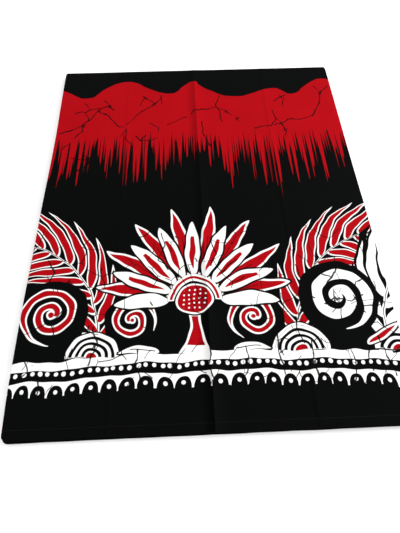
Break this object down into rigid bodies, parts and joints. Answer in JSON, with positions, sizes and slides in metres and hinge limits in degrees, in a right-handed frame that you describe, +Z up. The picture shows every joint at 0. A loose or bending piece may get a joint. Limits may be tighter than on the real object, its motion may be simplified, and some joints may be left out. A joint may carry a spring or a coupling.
{
  "type": "folded batik sarong",
  "caption": "Batik cotton tube sarong folded into a flat oblong pack, black ground with a red dripping band, hemmed edge in front and layered folded edges.",
  "frame": {"origin": "on the surface that the pack lies on, under the middle of its box", "axes": "+Y along the length from the hemmed edge to the folded edge, +X to the right seen from the hemmed edge, +Z up"},
  "size_m": [0.4615, 0.5949, 0.0096],
  "materials": {
    "front_cloth": "batik cotton, black, red and white, soft sheen",
    "hem_cloth": "black dyed cotton, turned and stitched",
    "layer_cloth": "black dyed cotton, folded in layers",
    "back_cloth": "batik cotton, black ground"
  },
  "bodies": {
    "root": {"front_panel": "front_cloth", "front_hem": "hem_cloth", "folded_layers": "layer_cloth", "waist_hem": "hem_cloth", "back_panel": "back_cloth"}
  },
  "joints": []
}
